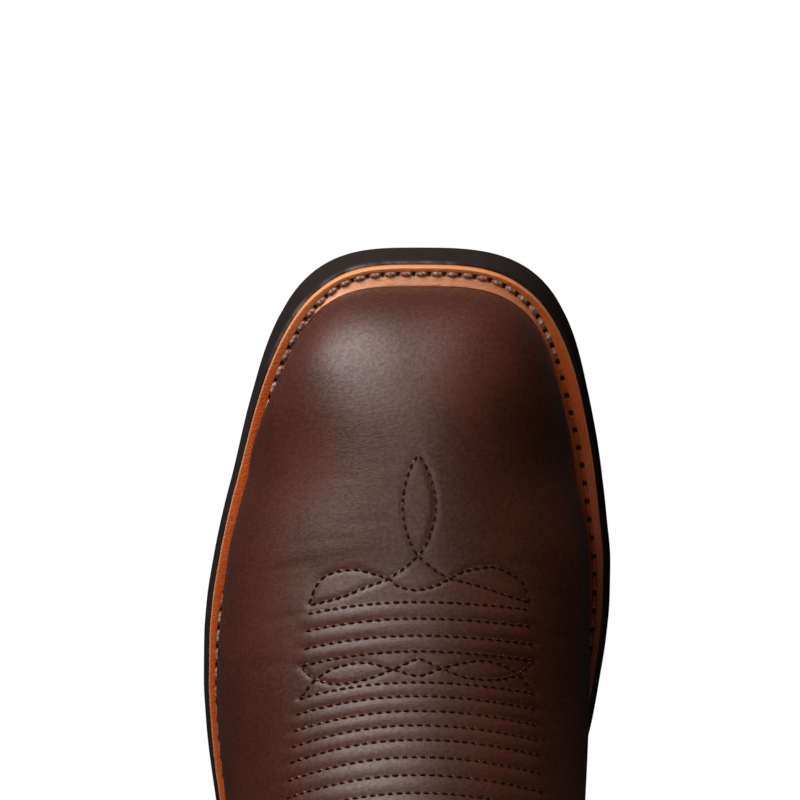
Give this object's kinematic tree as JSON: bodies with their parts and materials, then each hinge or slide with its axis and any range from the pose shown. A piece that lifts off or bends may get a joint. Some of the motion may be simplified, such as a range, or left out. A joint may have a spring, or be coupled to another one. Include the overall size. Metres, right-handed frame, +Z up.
{
  "type": "roper boot",
  "caption": "Left pull-on leather roper boot with a broad square toe, stitched tan welt, dark rubber sole, low heel, short shaft and side pull straps.",
  "frame": {"origin": "on the floor under the middle of the boot's length and of its sole's width", "axes": "+Y towards the toe, +Z up, +X towards the medial side, which is the wearer's right"},
  "size_m": [0.1158, 0.308, 0.2892],
  "materials": {
    "sole_rubber": "matt",
    "heel_stack": "satin",
    "welt_leather": "satin",
    "insole_leather": "matt",
    "shaft_leather": "satin",
    "vamp_leather": "satin"
  },
  "bodies": {
    "root": {"outsole": "sole_rubber", "heel_block": "heel_stack", "heel_top_lift": "sole_rubber", "welt": "welt_leather", "insole": "insole_leather", "upper": "shaft_leather", "vamp": "vamp_leather", "heel_counter": "vamp_leather", "side_piping_medial": "shaft_leather", "side_piping_lateral": "shaft_leather", "collar_binding": "shaft_leather", "pull_strap_medial": "shaft_leather", "pull_strap_lateral": "shaft_leather"}
  },
  "joints": []
}
